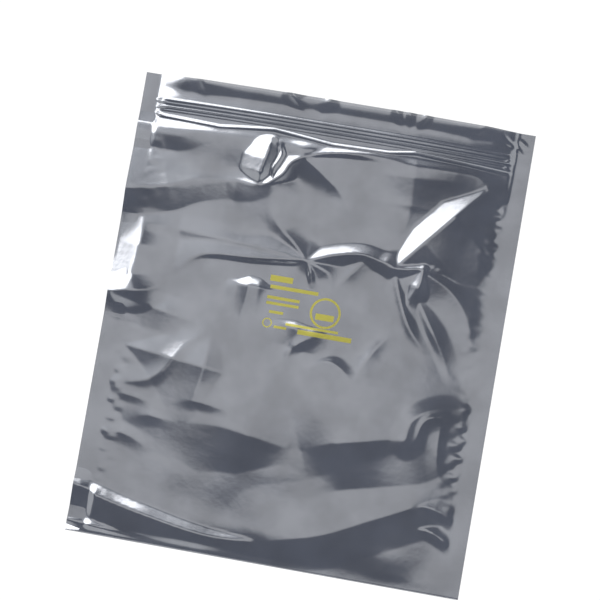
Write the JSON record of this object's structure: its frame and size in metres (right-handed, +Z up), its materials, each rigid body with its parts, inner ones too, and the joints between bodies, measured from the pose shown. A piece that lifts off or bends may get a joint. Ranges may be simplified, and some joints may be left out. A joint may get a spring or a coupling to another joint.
{
  "type": "anti static shielding bag",
  "caption": "Flat zip-top pouch of metallised see-through film, sealed down both sides and folded at the bottom, with a press-to-close strip inside its open mouth.",
  "frame": {"origin": "centre of the bag's footprint, on the surface that it lies on", "axes": "+X across the bag to the right, +Y along the bag towards its mouth, +Z up through the front panel"},
  "size_m": [0.278, 0.3274, 0.0127],
  "materials": {
    "metallised_film": "glossy see-through metallised film, silver grey",
    "zip_plastic": "clear glossy polyethylene"
  },
  "bodies": {
    "root": {"shielding_film": "metallised_film", "zip_rib_strip": "zip_plastic", "zip_groove_strip": "zip_plastic"}
  },
  "joints": []
}
